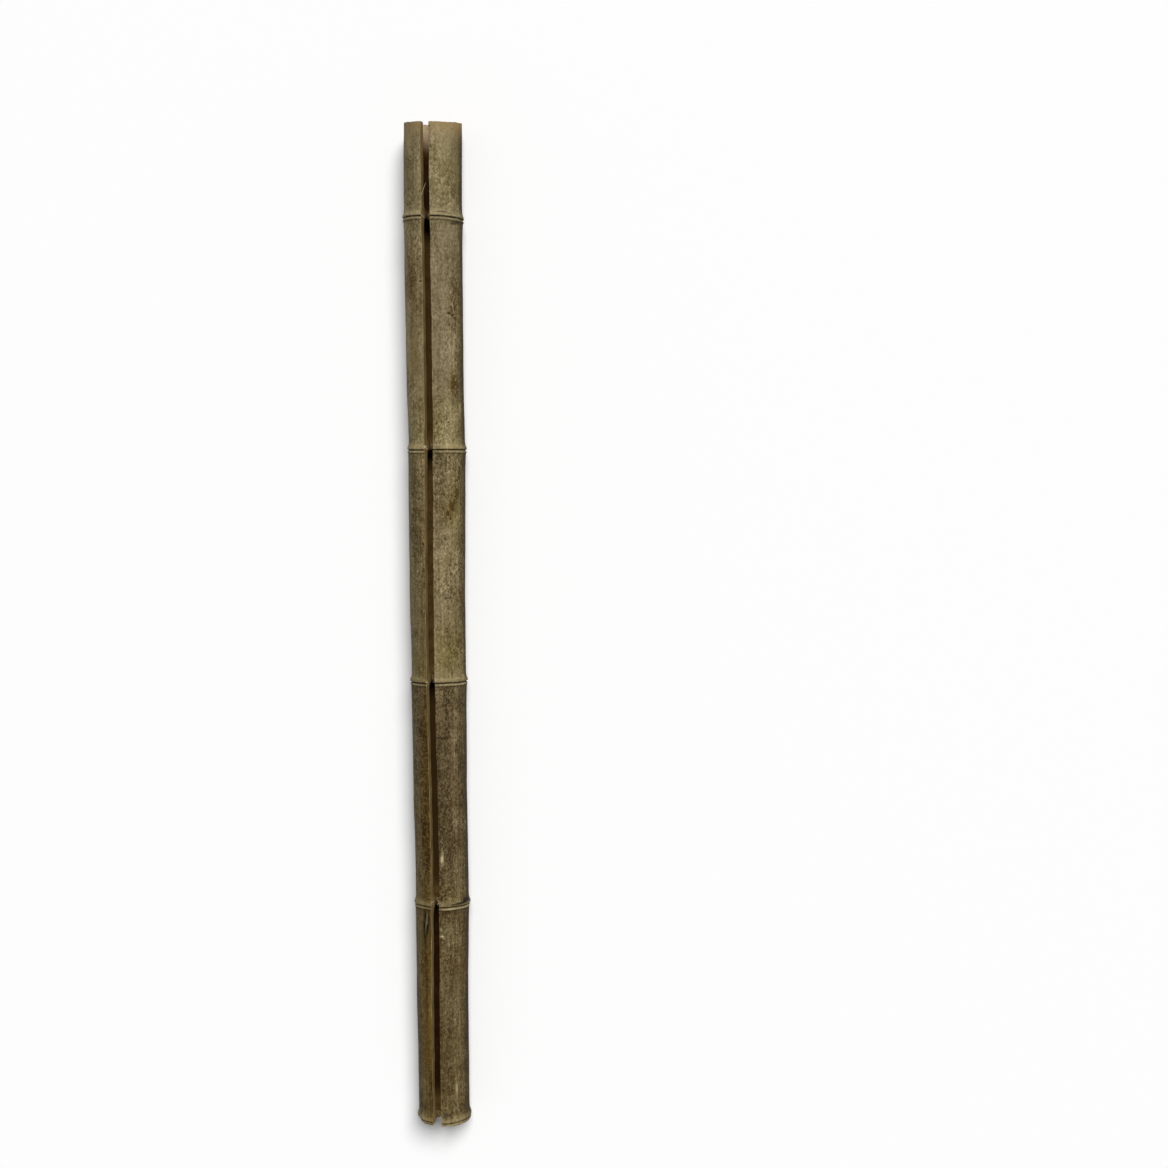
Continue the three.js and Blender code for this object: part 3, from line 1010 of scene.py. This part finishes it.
def weather_skin(piece):
    """Puts on the pole's points what its skin reads: its marks, its tone and how uneven that is."""
    y, around, _, node, past, internode = lie_of(piece)
    radius = culm_radius(y)
    shaded = painted_flank_shade(y, around)
    shown = {kind: spread(marks, y, around, radius) for kind, marks in all_marks().items()}
    # Paleness with a painted highlight on the ridge and lip, dirt and painted shade in the groove before
    # the ridge, painted shade in the groove after it
    rubbed_and_lit = RIDGE_RUBBED_AND_LIT + waves(around, NODES[node], RIDGE_BREAKS)
    shown["pale"] += of_each(RIDGE_PALENESS, node) * rubbed_and_lit * bell(past, *PALE_RIDGE)
    shown["pale"] += LIP_PALENESS * bell(past, *PALE_LIP)
    darkened = GROOVE_DARKENED + waves(around, NODES[node], GROOVE_BREAKS)
    shown["dirt_and_shade"] += of_each(GROOVE_DIRT_AND_SHADE, node) * darkened * bell(past, *UPPER_GROOVE)
    shown["dirt_and_shade"] += LOWER_GROOVE_SHADE * bell(past, *LOWER_GROOVE)
    shown["tan"] = TAN_END * bell(y, WIDE_END, TAN_REACH, TAN_REACH)
    shown["gold"] += of_each(INTERNODE_BROWNS, internode)
    shown["speck"] += of_each(INTERNODE_SPECKS, internode)
    shown["fleck"] = of_each(INTERNODE_FLECKS, internode) * (1.0 - FLECKS_SHADED_OVER * shaded)
    shown["trail"] = of_each(INTERNODE_TRAILS, internode)
    shown["mottled"] = of_each(INTERNODE_MOTTLED, internode) * (1.0 - shown.pop("smooth"))
    shown["streaky"] = of_each(INTERNODE_STREAKY, internode)
    tone = of_each(INTERNODE_TONES, internode) + shown.pop("dark")
    tone = tone - NODE_LIGHTNESS * bell(past, *LIGHTER_NODE)
    # A darker strip left of the slot, and painted shade along the right flank
    for angle, half_width, strength in DARK_STRIP_AND_FLANK_SHADE:
        tone = tone + strength * bell((around - math.radians(angle)) * radius, 0.0, half_width, half_width)
    # The tone takes the painted shade of the right flank and of the side that lies down
    shown["tone"] = tone + FLANK_SHADE * shaded
    for kind, values in shown.items():
        put(piece, kind, values)


def weather_cuts(piece):
    """Puts on the pole's points what its sawn faces and its lining read: how near the edge they are, how
    far out in the wall, the painted shade deep in the cut, and how dark the lining has gone, with painted
    light by the diaphragms and painted shade away from the open end."""
    y, _, from_axis, node, past, internode = lie_of(piece)
    radius = culm_radius(y)
    bore = radius - wall_thickness(y)
    by_diaphragm = bell(past, *BY_DIAPHRAGM)
    put(piece, "edge", bell(radius + proud(y) - from_axis, 0.0, EDGE_REACH, EDGE_REACH))
    put(piece, "rim", np.clip((from_axis - bore) / (radius - bore), 0.0, 1.0))
    inside = np.clip((radius - from_axis - DARK_FROM_DEPTH) / DARKENS_OVER, 0.0, 1.0)
    # Painted light by each diaphragm, on the cut and on the lining
    lit_cut = of_each(PAINTED_LIGHT_ON_CUT_AT_DIAPHRAGM, node) * by_diaphragm
    put(piece, "deep_shade", DEEP_SHADE * inside * (1.0 - lit_cut))
    aged_with_painted_light = of_each(INTERNODE_AGED, internode) * (1.0 - of_each(PAINTED_LIGHT_AT_DIAPHRAGM, node) * by_diaphragm)
    put(piece, "aged_with_painted_light", aged_with_painted_light)
    from_open_end = np.clip((WIDE_END - OPEN_END_PALE - y) / OPEN_END_SHADE_FADE, 0.0, 1.0)
    put(piece, "browned_and_shaded", np.clip(aged_with_painted_light / FULLY_BROWNED, 0.0, 1.0) * from_open_end)


weather_skin(pole)
weather_cuts(pole)


# Torn fibres: tufts that the saw has left on the kerf's sides, mostly at the nodes

# Each tuft's place along the pole, its side, its depth under the skin, the number of its fibres, and their
# length and thickness
TUFTS = (
    (374.0, -1, 1.5, 3, 4.0, 0.3), (373.0, 1, 1.0, 2, 3.5, 0.3),
    (169.8, -1, 1.0, 6, 2.6, 0.6), (168.5, -1, 2.5, 3, 3.0, 0.4),
    (-41.6, -1, 0.8, 5, 2.4, 0.6), (-38.5, 1, 1.5, 5, 3.0, 0.4),
    (-244.6, 1, 1.8, 6, 3.2, 0.5), (-246.5, -1, 1.0, 4, 3.0, 0.45),
    (-450.0, 1, 2.0, 4, 3.0, 0.4),
)

# How the fibres of a tuft differ: the spread of their places along the pole, and the ranges of their
# depth, of their reach across, along and up, of their length and of their thickness
TUFT_SEED = 61
TUFT_SPREAD = 0.9
TUFT_DEPTHS = (-0.6, 1.2)
REACH_ACROSS = (0.5, 1.0)
REACH_ALONG = 0.5
REACH_UP = (-0.5, 0.25)
FIBRE_LENGTHS = (0.6, 1.1)
FIBRE_THICKNESSES = (0.6, 1.2)

# One long splinter: the place along the pole, the place across the kerf from its middle and the depth of
# its root and of its tip, and its thickness
LONG_SPLINTER = ((391.0, -3.6, 1.0), (402.0, 0.8, 0.6), 0.5)

# A fibre's form, and how far past the kerf's side its root is sunk, as a share of the half width
STRAND_SIDES = 6
STRAND_STEPS = 5
STRAND_LEAN = 0.02
STRAND_TAPER = 0.8
SUNK = 1.05


def strand():
    """One torn fibre, a unit long: thick at its root, bent and thinner towards its tip."""
    deselect()
    bpy.ops.mesh.primitive_circle_add(vertices=STRAND_SIDES, radius=0.5, fill_type="NGON")
    made = bpy.context.active_object
    edit(made)
    bpy.ops.mesh.select_all(action="SELECT")
    for step in range(STRAND_STEPS):
        draw_out((STRAND_LEAN * step, 0, 1 / STRAND_STEPS))
        bpy.ops.transform.resize(value=(STRAND_TAPER, STRAND_TAPER, 1))
    close_up()
    return made


def lay_strand(pattern, root, tip, thickness, spin):
    """A copy of the strand from its root to its tip."""
    copy = pattern.copy()
    copy.data = pattern.data.copy()
    bpy.context.collection.objects.link(copy)
    reach = Vector(tip) - Vector(root)
    turn = reach.to_track_quat("Z", "Y").to_matrix().to_4x4() @ Matrix.Rotation(spin, 4, "Z")
    size = Matrix.Diagonal((thickness, thickness, reach.length, 1.0))
    copy.data.transform(Matrix.Translation(root) @ turn @ size)
    return copy


def on_kerf(along, side, depth):
    """A point on a side of the kerf, or between its sides where side isn't -1 or 1."""
    skin_height = float(axis_height(along) + culm_radius(along) + proud(np.asarray(along)))
    return Vector((float(kerf_middle(along)) + side * KERF_WIDTH / 2, along, skin_height - depth))


def torn_fibres():
    dice = np.random.default_rng(TUFT_SEED)
    pattern = strand()
    laid = []
    for along, side, depth, count, length, thickness in TUFTS:
        for _ in range(count):
            place = along + dice.normal() * TUFT_SPREAD
            root = on_kerf(place, side * SUNK, depth + dice.uniform(*TUFT_DEPTHS))
            across = -side * dice.uniform(*REACH_ACROSS)
            reach = Vector((across, dice.normal() * REACH_ALONG, dice.uniform(*REACH_UP)))
            tip = root + reach.normalized() * length * dice.uniform(*FIBRE_LENGTHS)
            thick = thickness * dice.uniform(*FIBRE_THICKNESSES)
            laid.append(lay_strand(pattern, root, tip, thick, dice.uniform(0, FULL_TURN)))
    (low_place, low_aside, low_depth), (high_place, high_aside, high_depth), thickness = LONG_SPLINTER
    half = KERF_WIDTH / 2
    root = on_kerf(low_place, low_aside / half * SUNK, low_depth)
    tip = on_kerf(high_place, high_aside / half, high_depth)
    laid.append(lay_strand(pattern, root, tip, thickness, 0.0))
    bpy.data.objects.remove(pattern, do_unlink=True)
    tufts = join(laid)
    tufts.name = "torn_fibres"
    return tufts


fibres = torn_fibres()
finish_with(fibres, torn_fibre())

# Both come to the part's own frame, in metres
for piece in (pole, fibres):
    x, y, z = points_of(piece)
    reshape(piece, (x - FOOTPRINT_MIDDLE[0]) * MM, (y - FOOTPRINT_MIDDLE[1]) * MM, z * MM)
    choose(piece)
    bpy.ops.object.shade_smooth_by_angle(angle=SMOOTH_ANGLE)
    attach(piece, "root")
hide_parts("bamboo_pole")


# Floor, light and camera

FLOOR_SIZE = 60

# The light is as even as that of a large window far off: its strength, how wide it looks and where it
# comes from. The fill is weak, and the backdrop that the camera sees is as pale as the floor
LIGHT_STRENGTH = 3.7
LIGHT_WIDTH = math.radians(28.0)
LIGHT_FROM = (1.95, 3.2, 4.7)
FILL_STRENGTH = 0.17
BACKDROP_STRENGTH = 0.95

# The camera stands over the pole. Its place, from the middle of the pole's axis, its tilt and its roll
# are swung together round that axis, by the angle that the slot is turned away from the view
LENS = 50.0
SENSOR = 36.0
FAR_CLIP = 100.0
EYE = (133.66, 177.76, 1475.2)
CAMERA_TILT = math.radians(5.143)
CAMERA_ROLL = math.radians(0.2314)
SLOT_TURN = math.radians(11.3)
AXIS_LEVEL = 26.0


def floor():
    """A plain pale studio floor."""
    deselect()
    bpy.ops.mesh.primitive_plane_add(size=FLOOR_SIZE)
    sheet = bpy.context.active_object
    sheet.name = "floor"
    material, tree, _ = new_material("pale_studio_floor")
    surface = add(tree, "BsdfPrincipled", {"Base Color": colour("#f4f4f4"), "Roughness": 0.9})
    add(tree, "OutputMaterial", {"Surface": surface.outputs["BSDF"]})
    finish_with(sheet, material)


def light():
    deselect()
    bpy.ops.object.light_add(type="SUN", location=LIGHT_FROM)
    made = bpy.context.active_object
    made.name = "window"
    made.data.energy = LIGHT_STRENGTH
    made.data.angle = LIGHT_WIDTH
    made.rotation_euler = (-Vector(LIGHT_FROM)).to_track_quat("-Z", "Y").to_euler()


def backdrop():
    """A weak even fill from all round, behind a backdrop as pale as the floor."""
    world = bpy.data.worlds.new("studio")
    bpy.context.scene.world = world
    world.use_nodes = True
    tree = world.node_tree
    tree.nodes.clear()
    seen = add(tree, "LightPath").outputs["Is Camera Ray"]
    strength = ranged(tree, seen, 0.0, 1.0, FILL_STRENGTH, BACKDROP_STRENGTH)
    even = add(tree, "Background", {"Color": colour("#ffffff"), "Strength": strength})
    add(tree, "OutputWorld", {"Surface": even.outputs[0]})


def camera():
    deselect()
    bpy.ops.object.camera_add()
    made = bpy.context.active_object
    made.data.lens = LENS
    made.data.sensor_width = SENSOR
    made.data.clip_end = FAR_CLIP
    right = Vector((math.cos(CAMERA_ROLL), -math.sin(CAMERA_ROLL), 0))
    level = math.cos(CAMERA_TILT)
    up = Vector((level * math.sin(CAMERA_ROLL), level * math.cos(CAMERA_ROLL), -math.sin(CAMERA_TILT)))
    back = right.cross(up)
    turn = Matrix.Rotation(SLOT_TURN, 4, "Y")
    looking = Matrix((right, up, back)).transposed().to_4x4()
    shift = Vector((-FOOTPRINT_MIDDLE[0], -FOOTPRINT_MIDDLE[1], AXIS_LEVEL))
    made.matrix_world = Matrix.Translation((turn @ Vector(EYE) + shift) * MM) @ turn @ looking
    bpy.context.scene.camera = made


floor()
light()
backdrop()
camera()
bpy.context.scene.view_settings.view_transform = "Standard"
